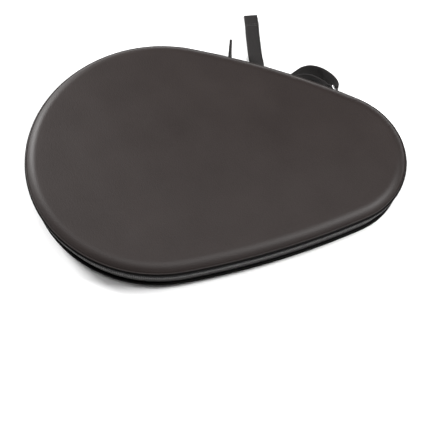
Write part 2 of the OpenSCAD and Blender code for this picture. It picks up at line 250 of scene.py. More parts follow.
def moulded(inset, shoulder_h, crown, upside_down=False):
    """Closed shell of a moulded panel. Its section goes from the ridge over the crowned face, down the
    shoulder's arc, round the lip and back under at the sheet's thickness. The crown rises as the
    squared sine of the way in, and a faint unevenness is added as products of sines across the face."""
    a = normal_at(run_at(0.0) + np.arange(around) * perimeter / around)[:, None]
    t = np.linspace(1, 0, 22)[None, :-1]
    shoulder_r = (shoulder_w ** 2 + shoulder_h ** 2) / (2 * shoulder_h)
    theta = np.linspace(0, math.asin(shoulder_w / shoulder_r), 14)
    arc = np.stack([face_in - shoulder_r * np.sin(theta), case_h - shoulder_r * (1 - np.cos(theta))], -1)
    inner = np.stack([face_in - (shoulder_r - skin_t) * np.sin(theta[::-1]),
                      case_h - skin_t - (shoulder_r - skin_t) * (1 - np.cos(theta[::-1]))], -1)
    edge = np.concatenate([arc, lip + [0, case_h - shoulder_h], inner])
    top = face_in + (reach(a) - inset - face_in) * t
    rise = crown * np.sin(math.pi / 2 * t) ** 2
    flat = rim(a, top + inset, case_h + rise)
    x, y = flat[..., 0], flat[..., 1]
    ripple = np.sin(x * 0.071 + 1) * np.sin(y * 0.083) + np.sin(x * 0.17 + y * 0.11)
    flat[..., 2] += unevenness * np.sin(math.pi * t) * ripple
    under = flat[:, ::-1] - [0, 0, skin_t]
    border = rim(a, edge[None, :, 0] + inset, edge[None, :, 1])
    points = np.concatenate([flat, border, under], 1)
    if upside_down:
        points[..., 2] = case_h - points[..., 2]
    v = np.arange(points.shape[1] + 1.0)
    return quilt(points, np.arange(around + 1) * perimeter / around, v, wrap_u=True)


lid_panel = sewn("lid_panel", [moulded(0, lid_shoulder_h, lid_crown)], black_leather, "lid",
                 merge=0.01)
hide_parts("lid_cover", "lid_board")

# ---- Base panel ------------------------------------------------------------------------------------
# The bottom is a moulded panel of the same leather cloth over foam, turned over, with a deeper shoulder.
# It is set in a little from the lid's outline, and the case rests on its flat face.
base_inset = 3.0
base_panel = sewn("base_panel", [moulded(base_inset, base_shoulder_h, base_crown, upside_down=True)],
                  black_leather, "base", merge=0.01)
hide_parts("base_cover", "base_board")

# ---- Piping ----------------------------------------------------------------------------------------
# A cord covered with smooth black cloth is sewn into each seam, and stands out round the edge. It
# catches a thin line of light along its top.
piping_r = 1.25
seam_gap = 0.05
lid_seam_z, base_seam_z = case_h - lid_shoulder_h - lip_t, base_shoulder_h + lip_t
piping_finish = Finish("piping_cloth", Base_Color=(0.0022, 0.0019, 0.0019, 1), Specular_IOR_Level=0.05)
along = piping_finish.cloth()[0]
drift = piping_finish.node("TexNoise", {}, {"Vector": piping_finish.place(), "Scale": 420, "Detail": 2.0})
piping_finish.feed("Roughness", 0.50 + drift * 0.16)
piping_finish.relief((along * 3300).wave() * 0.5 + drift, 0.00005)


def rolled(section, n=around, start=None, stop=None):
    """A closed section of (depth, height) points carried round the outline, or from one distance along
    it to another with its two ends closed."""
    whole = start is None
    run = np.arange(n) * perimeter / n if whole else np.linspace(start, stop, n)
    points = rim(normal_at(run)[:, None], section[None, :, 0], section[None, :, 1])
    steps = np.linalg.norm(np.roll(section, -1, 0) - section, axis=1)
    girth = np.concatenate([[0], np.cumsum(steps)])
    run = np.append(run, perimeter) if whole else run
    return quilt(points, run, girth, wrap_u=whole, wrap_v=True, ends=not whole)


def circle(depth, z, r, n):
    """Round section: centre + r * (cos, sin)."""
    t = np.arange(n) * turn / n
    return np.stack([depth + r * np.cos(t), z + r * np.sin(t)], -1)


for name, body, depth, z in (("lid_piping_cord", "lid", piping_r, lid_seam_z - seam_gap - piping_r),
                             ("base_piping_cord", "base", base_inset + piping_r,
                              base_seam_z + seam_gap + piping_r)):
    cord = sewn(name, [rolled(circle(depth, z, piping_r, 14))], piping_finish, body)
    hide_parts(name.replace("_cord", ""))

# ---- Side wall -------------------------------------------------------------------------------------
# The wall is a foam strip, covered outside with ribbed black nylon and inside with thin lining, and
# bound along its top. It leans in a little towards the bottom panel, which it is sewn to.
wall_top, wall_foot, lean = 21.4, base_seam_z + seam_gap, base_inset + 0.6
tape_in = 2 * piping_r + 3 * seam_gap
fabric_t, foam_t, lining_t = 0.6, 1.9, 0.5
hinge_w, hinge_shift = 94.0, 8.0
hinge_a = (broad_a + narrow_a) / 2 - hinge_shift / side_r
hinge_half = hinge_w / 2 / side_r
zip_from, zip_to = run_at(hinge_a + hinge_half), run_at(hinge_a - hinge_half + turn)


def woven(name, dark, light, pitch, row, depth, rough=0.8, sheen=0.04):
    """Ribbed weave: short yarns of length pitch along the cloth in rows that are row wide, each row
    shifted by half a yarn. Height = |sin(along + half a turn on each other row)| * |sin across|."""
    f = Finish(name, Sheen_Weight=sheen, Sheen_Roughness=0.5, Specular_IOR_Level=0.35)
    u, v = f.cloth()
    lane = u.maths("FLOOR", v * (1 / row))
    yarn = (u * (math.pi / pitch) + lane * (math.pi / 2)).wave()
    height = yarn * ((v * (math.pi / row)).wave() ** 0.6)
    fuzz = f.node("TexNoise", {}, {"Vector": f.place(), "Scale": 900, "Detail": 2.0})
    cloud = f.node("TexNoise", {}, {"Vector": f.place(), "Scale": 45, "Detail": 2.0})
    f.shades(height * 0.7 + cloud * 0.4, dark, light)
    f.feed("Roughness", rough + fuzz * 0.1 - height * 0.08)
    f.relief(height + fuzz * 0.3, depth)
    return f


def leaf(depth, thick, top=wall_top, foot=wall_foot, slope=lean, swell=0.0):
    """Section of one layer of the wall: out along the face from top to foot with a slight swell of
    sine shape, and back up at its thickness."""
    t = np.linspace(0, 1, 7)
    face = np.stack([depth + slope * t - swell * np.sin(math.pi * t), top + (foot - top) * t], -1)
    return np.concatenate([face, face[::-1] + [thick, 0]])


nylon = woven("ribbed_nylon", (0.0060, 0.0053, 0.0050), (0.019, 0.0168, 0.0157), pitch=0.0011, row=0.0007,
              depth=0.00016)
wall = sewn("wall_cloth", [rolled(leaf(tape_in, fabric_t, swell=0.12), 560, zip_from, zip_to)],
            nylon, "base", smooth=False)
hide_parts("wall_fabric")

foam = Finish("closed_cell_foam", Base_Color=(0.62, 0.60, 0.55, 1), Roughness=0.9)
bubbles = foam.node("TexVoronoi", {}, {"Vector": foam.place(), "Scale": 1400})
foam.relief(bubbles, 0.0001)
wall_pad = sewn("wall_pad", [rolled(leaf(tape_in + fabric_t + seam_gap, foam_t))], foam, "base",
                smooth=False)
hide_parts("wall_foam")

lining_cloth = woven("lining_cloth", (0.016, 0.016, 0.018), (0.040, 0.040, 0.044), pitch=0.0006, row=0.0004,
                     depth=0.00006, rough=0.72, sheen=0.3)
lining_in = tape_in + fabric_t + foam_t + 2 * seam_gap
wall_inside = sewn("wall_inside", [rolled(leaf(lining_in, lining_t))], lining_cloth, "base",
                   smooth=False)
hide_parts("wall_lining")

# ---- Bindings --------------------------------------------------------------------------------------
# A narrow woven tape is folded over each raw edge inside the case, one in the lid and one round the top
# of the wall, and sewn with one row of stitches.
binding_cloth = woven("binding_tape", (0.010, 0.0095, 0.0095), (0.030, 0.028, 0.028), pitch=0.0009,
                      row=0.0006, depth=0.00012)
thread = Finish("sewing_thread", Base_Color=(0.022, 0.020, 0.020, 1), Roughness=0.55, Sheen_Weight=0.2)
twist = thread.node("TexWave", {}, {"Vector": thread.place(), "Scale": 900, "Distortion": 1.0})
thread.relief(twist, 0.00004)


def bar(depth, z0, z1, thick, soft=0.25):
    """Section of a flat tape with rounded edges: a rectangle whose corners are cut by soft."""
    return np.array([(depth + soft, z0), (depth, z0 + soft), (depth, z1 - soft), (depth + soft, z1),
                     (depth + thick - soft, z1), (depth + thick, z1 - soft), (depth + thick, z0 + soft),
                     (depth + thick - soft, z0)])


def tubes(points):
    """Separate closed tubes from a (tube, ring, corner, 3) grid: quads between the rings of each and a
    flat face at both of its ends."""
    k, m, s = points.shape[:3]
    i, j = np.meshgrid(np.arange(m - 1), np.arange(s), indexing="ij")
    corners = [(i, j), (i + 1, j), (i + 1, j + 1), (i, j + 1)]
    one = np.stack([a * s + b % s for a, b in corners], -1).reshape(-1, 4)
    quads = (one[None] + m * s * np.arange(k)[:, None, None]).reshape(-1, 4).tolist()
    caps = [list(range(m * s * q, m * s * q + s))[::-1] for q in range(k)]
    caps += [list(range(m * s * (q + 1) - s, m * s * (q + 1))) for q in range(k)]
    return points.reshape(-1, 3), quads + caps, np.zeros((4 * len(quads) + 2 * s * k, 2))


def stitches(middle, aim, up, length, r=0.22):
    """Stitches as short threads at the points middle, lying along aim and standing off along up. Each
    is a tube whose radius and height follow half a sine: highest in its middle, sunk at its ends."""
    t = np.linspace(0, 1, 5)[None, :, None, None]
    w = (np.arange(6) * turn / 6)[None, None, :, None]
    middle, aim, up = (x[:, None, None, :] for x in np.broadcast_arrays(middle, aim, up))
    side = np.cross(aim, up)
    bulge = np.sin(math.pi * (0.08 + 0.84 * t))
    return tubes(middle + aim * (t - 0.5) * length + up * (bulge * 0.2 - 0.1 + r * bulge * np.cos(w))
                 + side * r * bulge * np.sin(w))


def seam(depth, z, start, stop, pitch=2.6, length=1.9, outwards=True):
    """A row of stitches along the outline at one depth and height."""
    run = np.arange(start + pitch / 2, stop, pitch)
    a = normal_at(run)
    out = np.stack([np.cos(a), np.sin(a), 0 * a], -1)
    along = np.stack([np.sin(a), -np.cos(a), 0 * a], -1)
    return stitches(rim(a, depth, z), along, out if outwards else -out, length)


wall_edge_in, lid_edge_in = lining_in + lining_t + 0.5, 3.5
lid_edge_z = lid_seam_z - 2 * seam_gap
wall_edge = sewn("wall_edge_binding", [rolled(bar(wall_edge_in, wall_top - 2.3, wall_top + 0.1, 0.6))],
                 binding_cloth, "base")
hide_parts("wall_binding")
lid_edge = sewn("lid_edge_binding", [rolled(bar(lid_edge_in, lid_edge_z - 2.6, lid_edge_z, 0.95))],
                binding_cloth, "lid")
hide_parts("lid_binding")
sewn("wall_edge_stitches", [seam(wall_edge_in + 0.65, wall_top - 1.4, 0, perimeter, outwards=False)],
     thread, "base")
sewn("lid_edge_stitches", [seam(lid_edge_in + 1.0, lid_edge_z - 1.4, 0, perimeter, outwards=False)],
     thread, "lid")

# ---- Zip tapes -------------------------------------------------------------------------------------
# Each half of the zip is a woven tape. The upper one is sewn in under the lid's piping and the lower
# one to the wall. A rib of yarn beside the coil has a light grey colour as a painted highlight.
tape_cloth = woven("zip_tape_cloth", (0.007, 0.0063, 0.0063), (0.024, 0.022, 0.022), pitch=0.0009, row=0.0008,
                   depth=0.00014, rough=0.62, sheen=0.06)
# The rib's light grey base colour, far lighter than the tape, is a painted highlight: it stands in for the
# thin line of light along the rib.
rib_painted_highlight = Finish("coil_yarn_painted_highlight", Base_Color=(0.06, 0.056, 0.056, 1), Roughness=0.40, Specular_IOR_Level=0.5)
rib_painted_highlight.relief((rib_painted_highlight.cloth()[0] * 2600).wave(), 0.00008)
tape_t, zip_z, half_gap_z = 0.8, 25.0, 0.4
slider_at = run_at(broad_a + math.radians(3.5))
parking = 6.1


def zip_pieces(name, z0, z1, rib_z, node, body, parted):
    """Tape and yarn rib of one half of the zip, in two lengths where the slider parts it."""
    lengths = [(zip_from, zip_to)]
    if parted:
        lengths = [(zip_from, slider_at - parking), (slider_at + parking, zip_to)]
    tape = sewn(name, [rolled(bar(tape_in, z0, z1, tape_t, 0.15), max(8, int((b - a) / 1.4)), a, b)
                       for a, b in lengths], tape_cloth, body)
    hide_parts(node)
    sewn(name + "_rib", [rolled(circle(tape_in - 0.1, rib_z, 0.42, 8), max(8, int((b - a) / 1.4)), a, b)
                         for a, b in lengths], rib_painted_highlight, body)


zip_pieces("upper_tape", zip_z + half_gap_z, lid_edge_z, zip_z + 2.7, "zip_tape_upper", "lid", parted=True)
zip_pieces("lower_tape", wall_top + seam_gap, zip_z - half_gap_z, zip_z - 2.7, "zip_tape_lower", "base",
           parted=False)

# ---- Zip coils -------------------------------------------------------------------------------------
# The teeth are one long spiral of nylon wire, sewn to the edge of each tape. Every turn is a loop whose
# head reaches between two heads of the other half.
coil_finish = Finish("coil_nylon", Base_Color=(0.030, 0.028, 0.028, 1), Specular_IOR_Level=0.6)
worn = coil_finish.node("TexNoise", {}, {"Vector": coil_finish.place(), "Scale": 300, "Detail": 2.0})
coil_finish.feed("Roughness", 0.26 + worn * 0.22)
tooth_pitch, tooth_r = 1.5, 0.3
stop_w = 1.8


def teeth(start, stop, shift, head, root):
    """Loops of wire every pitch: tubes with six sides along a hairpin of seven points in the plane of
    depth and height, whose front leg slants by a third of the pitch. The heads draw back beside the
    slider."""
    run = np.arange(start + tooth_pitch * (0.5 + shift), stop - tooth_pitch * 0.4, tooth_pitch)
    held = np.clip((np.abs(run - slider_at) - 7) / 4, 0, 1)
    flat_head = zip_z + (0.45 if root > head else -0.45)
    head = flat_head + (head - flat_head) * held
    d = np.array([2.2, 2.2, 2.12, 1.85, 1.58, 1.5, 1.5])
    h = np.array([1.0, 0.45, 0.12, 0.0, 0.12, 0.45, 1.0])
    w = np.array([-0.25, -0.05, 0, 0, 0, 0.05, 0.25]) * tooth_pitch * 0.8
    z = head[:, None] + (root - head)[:, None] * h[None]
    along_d, along_z = np.gradient(d)[None], np.gradient(z, axis=1)
    size = np.hypot(along_d, along_z)
    t = (np.arange(6) * turn / 6)[None, None, :]
    across_d, across_z = along_z / size, -along_d / size
    depth = d[None, :, None] + tooth_r * np.cos(t) * across_d[:, :, None]
    height = z[:, :, None] + tooth_r * np.cos(t) * across_z[:, :, None]
    place = run[:, None, None] + w[None, :, None] + tooth_r * 0.95 * np.sin(t)
    return tubes(rim(normal_at(place), depth, height))


head_out, root_out = 0.5, 1.9
lower_coil = sewn("lower_coil", [teeth(zip_from + stop_w, zip_to - stop_w, 0.0, zip_z + head_out,
                                       zip_z - root_out)], coil_finish, "base")
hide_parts("zip_coil_lower")
upper_coil = sewn("upper_coil", [teeth(a, b, 0.5, zip_z - head_out, zip_z + root_out)
                                 for a, b in ((zip_from + stop_w, slider_at - parking),
                                              (slider_at + parking, zip_to - stop_w))],
                  coil_finish, "lid")
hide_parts("zip_coil_upper")

# ---- Metal parts -----------------------------------------------------------------------------------
# The four end stops are clamped over the coils, the pull's link is stamped and the ring is bent from
# wire. All are plated steel, and they keep their exact shapes and take a rubbed metal finish.
plated = Finish("plated_steel", Metallic=1.0, Base_Color=(0.62, 0.62, 0.63, 1))
rub = plated.node("TexNoise", {}, {"Vector": plated.place(), "Scale": 700, "Detail": 3.0})
plated.feed("Roughness", 0.2 + rub * 0.18)
plated.relief(rub, 0.00001)
for name in ("zip_stops_lower", "zip_stops_upper", "pull_link", "d_ring"):
    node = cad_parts[name]
    node.data.materials.clear()
    node.data.materials.append(plated.material)

# ---- Zip slider ------------------------------------------------------------------------------------
# The slider is a die-cast body in black enamel: a front plate and a back plate joined by a short
# post between the coils, turned lips over the coils, and a bridge that holds the pull.
enamel = Finish("black_enamel", Base_Color=(0.016, 0.016, 0.017, 1), Specular_IOR_Level=0.6)
chips = enamel.node("TexNoise", {}, {"Vector": enamel.place(), "Scale": 500, "Detail": 3.0})
enamel.feed("Roughness", 0.22 + chips * 0.2)
slider_a = float(normal_at(slider_at))
slider_l, slider_half_h = 11.0, 3.25


def in_frame(a, points):
    """Points (x along the outline, y outwards, z) at the rim point with normal direction a."""
    origin = rim(a, 0, 0)
    x, y = np.array([math.sin(a), -math.cos(a), 0]), np.array([math.cos(a), math.sin(a), 0])
    return origin + points[..., :1] * x + points[..., 1:2] * y + points[..., 2:] * [0, 0, 1]


def lofted(a, rings):
    """Closed body through rings of points, each ring a (n, 3) loop in the frame at a."""
    rings = in_frame(a, np.asarray(rings, float))
    n, m = rings.shape[:2]
    return quilt(rings, np.arange(n + 1.0), np.arange(m + 1.0), wrap_v=True, ends=True)


def plate(y0, y1, half_l, half_z, mid_z, soft, waist=0.0):
    """A cast plate: a superellipse outline of power 5, narrowed by waist towards one end, whose two
    faces are drawn in by soft with a quarter-round edge."""
    t = np.arange(40) * turn / 40
    x = np.sign(np.cos(t)) * np.abs(np.cos(t)) ** 0.4
    z = np.sign(np.sin(t)) * np.abs(np.sin(t)) ** 0.4
    rings = []
    for lift, draw in ((0, 1), (0.3, 0.3), (1, 0), (-1, 0), (-0.3, 0.3), (0, 1)):
        y = y0 + soft * lift if len(rings) < 3 else y1 + soft * lift
        hx, hz = half_l - soft * draw, half_z - soft * draw
        rings.append(np.stack([hx * x, 0 * t + y, mid_z + hz * z * (1 - waist * (0.5 - 0.5 * x))], -1))
    return rings


front, back = -0.95, -3.95
bridge_x, bridge_y = -1.0, 1.9
plate_t, lip_half, cheek_z, bridge_r = 1.0, 0.45, 2.0, 0.7


def shifted(rings, x):
    """The same rings, moved along the outline."""
    return [ring + [x, 0, 0] for ring in rings]


slider_parts = [
    plate(front, front + plate_t, slider_l / 2, slider_half_h, zip_z, 0.3, waist=0.16),
    plate(back - plate_t, back, slider_l / 2, 2.2, zip_z, 0.25, waist=0.16),
    shifted(plate(back - 0.1, front + 0.1, 1.2, 0.25, zip_z, 0.05), 3.0)]
for z in (zip_z - slider_half_h + lip_half, zip_z + slider_half_h - lip_half):
    slider_parts.append(shifted(plate(front - 1.0, front + 0.5, slider_l / 2 - 0.9, 0.42, z, 0.15), 0.3))
for z in (zip_z - cheek_z, zip_z + cheek_z):
    slider_parts.append(shifted(plate(front + 0.8, bridge_y + 0.9, 1.1, 0.6, z, 0.25), bridge_x))
slider = sewn("zip_slider", [lofted(slider_a, part) for part in slider_parts], enamel, "slider")
w = np.arange(16) * turn / 16
pin = [np.stack([bridge_x + bridge_r * np.cos(w), bridge_y + bridge_r * np.sin(w), 0 * w + z], -1)
       for z in (zip_z - 1.8, zip_z - 1.2, zip_z, zip_z + 1.2, zip_z + 1.8)]
sewn("zip_bridge_bar", [lofted(slider_a, pin)], plated, "slider")
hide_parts("slider_body")

# ---- Zip pull --------------------------------------------------------------------------------------
# The pull is moulded black rubber on the steel link. It has rows of grip ribs, a rounded end, and a
# soft waist behind the eye, and it hangs turned a little towards the wall.
rubber = Finish("moulded_rubber", Base_Color=(0.013, 0.0125, 0.0125, 1), Specular_IOR_Level=0.4)
haze = rubber.node("TexNoise", {}, {"Vector": rubber.place(), "Scale": 600, "Detail": 2.0})
rubber.feed("Roughness", 0.48 + haze * 0.2)
rubber.relief(haze, 0.00003)
s = np.linspace(0, 1, 64)
link_l, pull_root, pull_l = 8.0, 1.2, 25.2
pull_x = bridge_x + link_l - pull_root + pull_l * s
end = np.clip(1 - ((s - 0.5) / 0.5) ** 24, 0.02, 1) ** 0.5
ribs = 0.10 * np.cos(s * 19 * math.pi) * ((s > 0.36) & (s < 0.9))
half_y = (1.1 - 0.3 * s) * end + ribs * end
half_z = (1.7 - 0.4 * np.exp(-((s - 0.2) / 0.09) ** 2)) * end
w = np.arange(24) * turn / 24
pull_rings = np.stack([np.broadcast_to(pull_x[:, None], (64, 24)),
                       bridge_y + half_y[:, None] * np.sign(np.cos(w)) * np.abs(np.cos(w)) ** 0.6,
                       zip_z + half_z[:, None] * np.sign(np.sin(w)) * np.abs(np.sin(w)) ** 0.6], -1)
pull_rest = math.radians(-4)
from_bar_x, from_bar_y = pull_rings[..., 0] - bridge_x, pull_rings[..., 1] - bridge_y
pull_rings = np.stack([bridge_x + from_bar_x * math.cos(pull_rest) - from_bar_y * math.sin(pull_rest),
                       bridge_y + from_bar_x * math.sin(pull_rest) + from_bar_y * math.cos(pull_rest),
                       pull_rings[..., 2]], -1)
pull = sewn("rubber_pull", [lofted(slider_a, pull_rings)], rubber, "pull")
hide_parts("zip_pull")

# ---- Fabric hinge ----------------------------------------------------------------------------------
# Along the back, between the two ends of the zip, one strip of the wall's nylon runs from the bottom
# seam up to the lid's seam. The lid turns on it; here the strip is one fixed piece on neither half.
hinge_from, hinge_to = run_at(hinge_a - hinge_half), run_at(hinge_a + hinge_half)
t = np.linspace(0, 1, 9)
low = np.stack([tape_in + lean * (1 - t), wall_foot + (wall_top - wall_foot) * t], -1)
high = np.stack([np.full(22, tape_in), np.linspace(wall_top, lid_edge_z, 23)[1:]], -1)
strip = np.concatenate([low, high])
hinge_section = np.concatenate([strip, strip[::-1] + [fabric_t, 0]])
hinge = sewn("hinge_strip", [rolled(hinge_section, 90, hinge_from, hinge_to)], nylon, None,
             smooth=False)
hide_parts("hinge_panel_lower", "hinge_panel_upper")
hinge_mid = rim(hinge_a, 0, 0) * 0.001
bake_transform(hinge)

# ---- Webbing ---------------------------------------------------------------------------------------
# The wrist strap and the two tabs are 12 mm ribbed nylon webbing. The strap is one closed loop through
# the ring: it stands on its edge beside the case, then turns flat, and its folded end is sewn across.
webbing_cloth = woven("nylon_webbing", (0.0022, 0.0016, 0.0016), (0.0110, 0.0086, 0.0083), pitch=0.0013,
                      row=0.0010, depth=0.00025, rough=0.75, sheen=0.02)
webbing_w, webbing_t = 12.0, 1.15


def spline(rows, step):
    """Smooth rows through control rows: Catmull-Rom, cut to equal steps along its first three columns."""
    rows = np.asarray(rows, float)
    p = np.concatenate([rows[:1] * 2 - rows[1:2], rows, rows[-1:] * 2 - rows[-2:-1]])
    t = np.linspace(0, len(rows) - 1, 24 * (len(rows) - 1) + 1)
    k = np.minimum(t.astype(int), len(rows) - 2)
    f = (t - k)[:, None]
    a, b, c, d = p[k], p[k + 1], p[k + 2], p[k + 3]
    out = 0.5 * (2 * b + (c - a) * f + (2 * a - 5 * b + 4 * c - d) * f ** 2
                 + (3 * b - a - 3 * c + d) * f ** 3)
    run = np.concatenate([[0], np.cumsum(np.linalg.norm(np.diff(out[:, :3], axis=0), axis=1))])
    even = np.linspace(0, run[-1], max(4, int(run[-1] / step)))
    return np.stack([np.interp(even, run, out[:, j]) for j in range(out.shape[1])], -1)


def girth_of(x, y):
    """Distance round a closed section from its first corner to each corner, and back to the first."""
    steps = np.hypot(np.diff(np.append(x, x[0])), np.diff(np.append(y, y[0])))
    return np.concatenate([[0], np.cumsum(steps)])


def ribbon(path, wide, width, thick):
    """Webbing along a path of points, whose width follows the directions wide: a rounded flat section
    of fourteen points in the plane of wide and of the side direction, which is path x wide."""
    tangent = np.gradient(path, axis=0)
    tangent /= np.linalg.norm(tangent, axis=1)[:, None]
    wide = wide - (wide * tangent).sum(1)[:, None] * tangent
    wide /= np.linalg.norm(wide, axis=1)[:, None]
    side = np.cross(tangent, wide)
    x = np.concatenate([np.linspace(-1, 1, 6) * (width / 2 - 0.35), [width / 2]])
    y = np.concatenate([np.full(6, thick / 2), [0]])
    x, y = np.concatenate([x, -x]), np.concatenate([y, -y])
    points = path[:, None] + x[None, :, None] * wide[:, None] + y[None, :, None] * side[:, None]
    run = np.concatenate([[0], np.cumsum(np.linalg.norm(np.diff(path, axis=0), axis=1))])
    return quilt(points, run, girth_of(x, y), wrap_v=True, ends=True)


def in_hinge(points):
    """Points in the frame at the middle of the hinge, where the strap's route is laid out."""
    return in_frame(hinge_a, np.asarray(points, float))


upright = np.array([0, 0, 1.0])
ring_at, ring_turn, ring_depth = np.array([46.0, 4.5]), math.radians(40), 11.0
bow = ring_at + ring_depth * np.array([-math.sin(ring_turn), math.cos(ring_turn)])
ring_z, eye_r = 8.0, 0.9 + 0.06 + webbing_t / 2 + 0.02
outer = [(4.2, 2.6, 0.0), (1.5, 6.5, 0.2), (-5, 10.5, 0.34), (-14.5, 13.4, 0.34), (-23.5, 12.6, 0.34),
         (-30, 8.2, 0.3), (-34.5, 1.6, 0.15)]
inner = [(-3.8, 0.6, 0.0), (-10, 2.6, 0.1), (-20, 3.8, 0.2), (-28, 1.4, 0.2), (-34.8, -3.4, 0.1)]
double = [(-39.5, -5, 8, 0), (-48, -6.4, 8, 4), (-56, -6.5, 7.5, 20), (-62.5, -3.5, 5.8, 46),
          (-66.8, 2.2, 3.2, 76), (-69.8, 8.2, 1.75, 90), (-73.4, 14.6, 1.6, 90), (-77.4, 23, 1.55, 90),
          (-83, 35, 1.5, 90),
          (-87.5, 45.4, 1.5, 90), (-91.7, 54.2, 1.5, 90)]
double = np.array(double)
heading = np.gradient(double[:, :2], axis=0)
heading /= np.linalg.norm(heading, axis=1)[:, None]
flat_dir = np.stack([-heading[:, 1], heading[:, 0], 0 * heading[:, 0]], -1)
lie = np.radians(double[:, 3])[:, None]
wide = np.cos(lie) * upright - np.sin(lie) * flat_dir
lift = np.cos(lie) * flat_dir + np.sin(lie) * upright
half_gap = webbing_t / 2 + 0.04
forth = np.concatenate([double[:, :3] + lift * half_gap, wide], 1)
back_way = np.concatenate([double[:, :3] - lift * half_gap, wide], 1)[::-1]
fold_out = np.append(heading[-1], 0) * 0.75
tip = np.concatenate([double[-1, :3] + fold_out, wide[-1]])[None]


def on_edge(route):
    """Control rows for webbing on its edge: x, y, then how far its top leans away from the case."""
    return [(x, y, ring_z, 0, tilt, 1) for x, y, tilt in route]


t = np.radians(np.linspace(135, 395, 9))
eye = on_edge(np.stack([eye_r * np.cos(t), eye_r * np.sin(t), 0 * t], -1))
loop_rows = np.concatenate([on_edge([(0.55, 1.5, 0.0)]), on_edge(outer), forth, tip, back_way,
                            on_edge(inner[::-1]), eye])
loop = spline(loop_rows, 1.0)
loop[:, :2] += bow
strap = sewn("strap_webbing", [ribbon(in_hinge(loop[:, :3]),
                                      in_hinge(loop[:, 3:]) - in_hinge(np.zeros(3)), webbing_w, webbing_t)],
             webbing_cloth, "strap")
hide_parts("wrist_strap")
tail = double[-1, :2] - heading[-1] * 9.0 + bow
cross = flat_dir[-1, :2]
k = np.arange(-4, 5)[:, None] * 1.25
rows = []
for shift in (0.0, -1.6):
    spots = np.concatenate([tail + heading[-1] * shift + cross * k, np.full((9, 1), 2.72)], 1)
    aim = in_hinge(np.append(cross, 0)) - in_hinge(np.zeros(3))
    rows.append(stitches(in_hinge(spots), aim, upright, 1.05, 0.2))
sewn("strap_stitches", rows, thread, "strap")


def folded_tab(a, root, out, r, z, spread, tilt=0.0):
    """A tab of webbing folded round a point: out along the line from root, half round with radius r,
    and back, standing on its edge at height z. It starts spread on each side of the root, and leans
    over by the angle tilt, which fades outwards."""
    aim = (out - root) / np.linalg.norm(out - root)
    side = np.array([-aim[1], aim[0]])
    t = np.radians(np.linspace(-90, 90, 9))
    bend = out + r * (np.cos(t)[:, None] * aim + np.sin(t)[:, None] * side)
    route = np.concatenate([[root - spread * side], bend, [root + spread * side]])
    rows = spline(np.concatenate([route, np.full((len(route), 1), z)], 1), 0.5)
    angle = tilt * np.clip(1 - (rows[:, :2] - root) @ aim / np.linalg.norm(out - root), 0, 1)
    edge = np.stack([np.sin(angle), 0 * angle, np.cos(angle)], -1)
    return ribbon(in_frame(a, rows), in_frame(a, edge) - in_frame(a, np.zeros(3)), webbing_w - 0.5, webbing_t)


left_a, right_a = hinge_a + hinge_half, hinge_a - hinge_half
lean_dir = np.array([-math.sin(math.radians(15)), math.cos(math.radians(15))])
end_tab_l, end_tab_z = 28.2, 10.1
tab_quilt = folded_tab(left_a, np.array([0.0, -2.7]), lean_dir * end_tab_l, 0.62, end_tab_z, 0.6,
                       tilt=math.radians(-14))
end_tab = sewn("end_tab", [tab_quilt], webbing_cloth, "base")
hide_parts("zip_end_tab")
off = ring_at - side_r * np.array([math.sin(hinge_half), math.cos(hinge_half) - 1])
eye_at = np.array([off[0] * math.cos(hinge_half) - off[1] * math.sin(hinge_half),
                   off[0] * math.sin(hinge_half) + off[1] * math.cos(hinge_half)])
ring_loop = sewn("ring_loop", [folded_tab(right_a, np.array([eye_at[0], -2.6]), eye_at, eye_r, ring_z, 0.62)],
                 webbing_cloth, "base")
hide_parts("ring_tab")


def liner(name, inset, z, up, node, body):
    """A sheet half a millimetre thick whose face swells by the squared sine of the way in and whose
    edge is rounded over."""
    a = normal_at(run_at(0.0) + np.arange(around // 2) * perimeter / (around // 2))[:, None]
    t = np.linspace(0, 1, 18)[None]
    top = inset + (reach(a) - inset) * t
    edge = np.minimum(1, t * 12)
    face = rim(a, top, z + up * (lining_t * np.sqrt(edge * (2 - edge)) + 0.25 * np.sin(math.pi / 2 * t) ** 2))
    rear = rim(a, top, z + 0 * t)[:, ::-1]
    points = np.concatenate([rear[:, :-1], face], 1)
    along = np.arange(around // 2 + 1) * perimeter / (around // 2)
    made = quilt(points, along, np.arange(points.shape[1]) * 4.0, wrap_u=True)
    cloth = sewn(name, [made], lining_flat, body, merge=0.01)
    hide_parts(node)
    return cloth


lining_flat = Finish("lining_face", Sheen_Weight=0.3, Sheen_Roughness=0.5)
at_x, at_y = (lining_flat.node("SeparateXYZ", values={0: lining_flat.place()}, out=k) for k in (0, 1))
yarn_w = 0.0007
knit = (at_x * (math.pi / yarn_w)).wave() * (at_y * (math.pi / yarn_w)).wave()
lining_flat.shades(knit, (0.017, 0.017, 0.019), (0.042, 0.042, 0.047))
lining_flat.feed("Roughness", 0.8 - knit * 0.1)
lining_flat.relief(knit, 0.00008)
for name, inset, z, up, node, body in (("lid_liner", 4.9, 32.1, -1, "lid_lining", "lid"),
                                       ("base_liner", 7.9, 4.4, 1, "base_lining", "base")):
    cloth = liner(name, inset, z, up, node, body)
    cut = rim(normal_at(np.arange(around) * perimeter / around), inset, 0)[:, :2] * 0.001
    "lid_panel" if body == "lid" else "base_panel"

# ---- Paddle band, mesh pocket and its elastic ------------------------------------------------------
# A wide elastic band across the base holds the paddle's handle. On the lid's lining a mesh pocket
# holds a ball, with a narrow elastic along its mouth.
elastic = woven("knitted_elastic", (0.014, 0.015, 0.018), (0.050, 0.052, 0.060), pitch=0.0016, row=0.0011,
                depth=0.0003, rough=0.7, sheen=0.3)


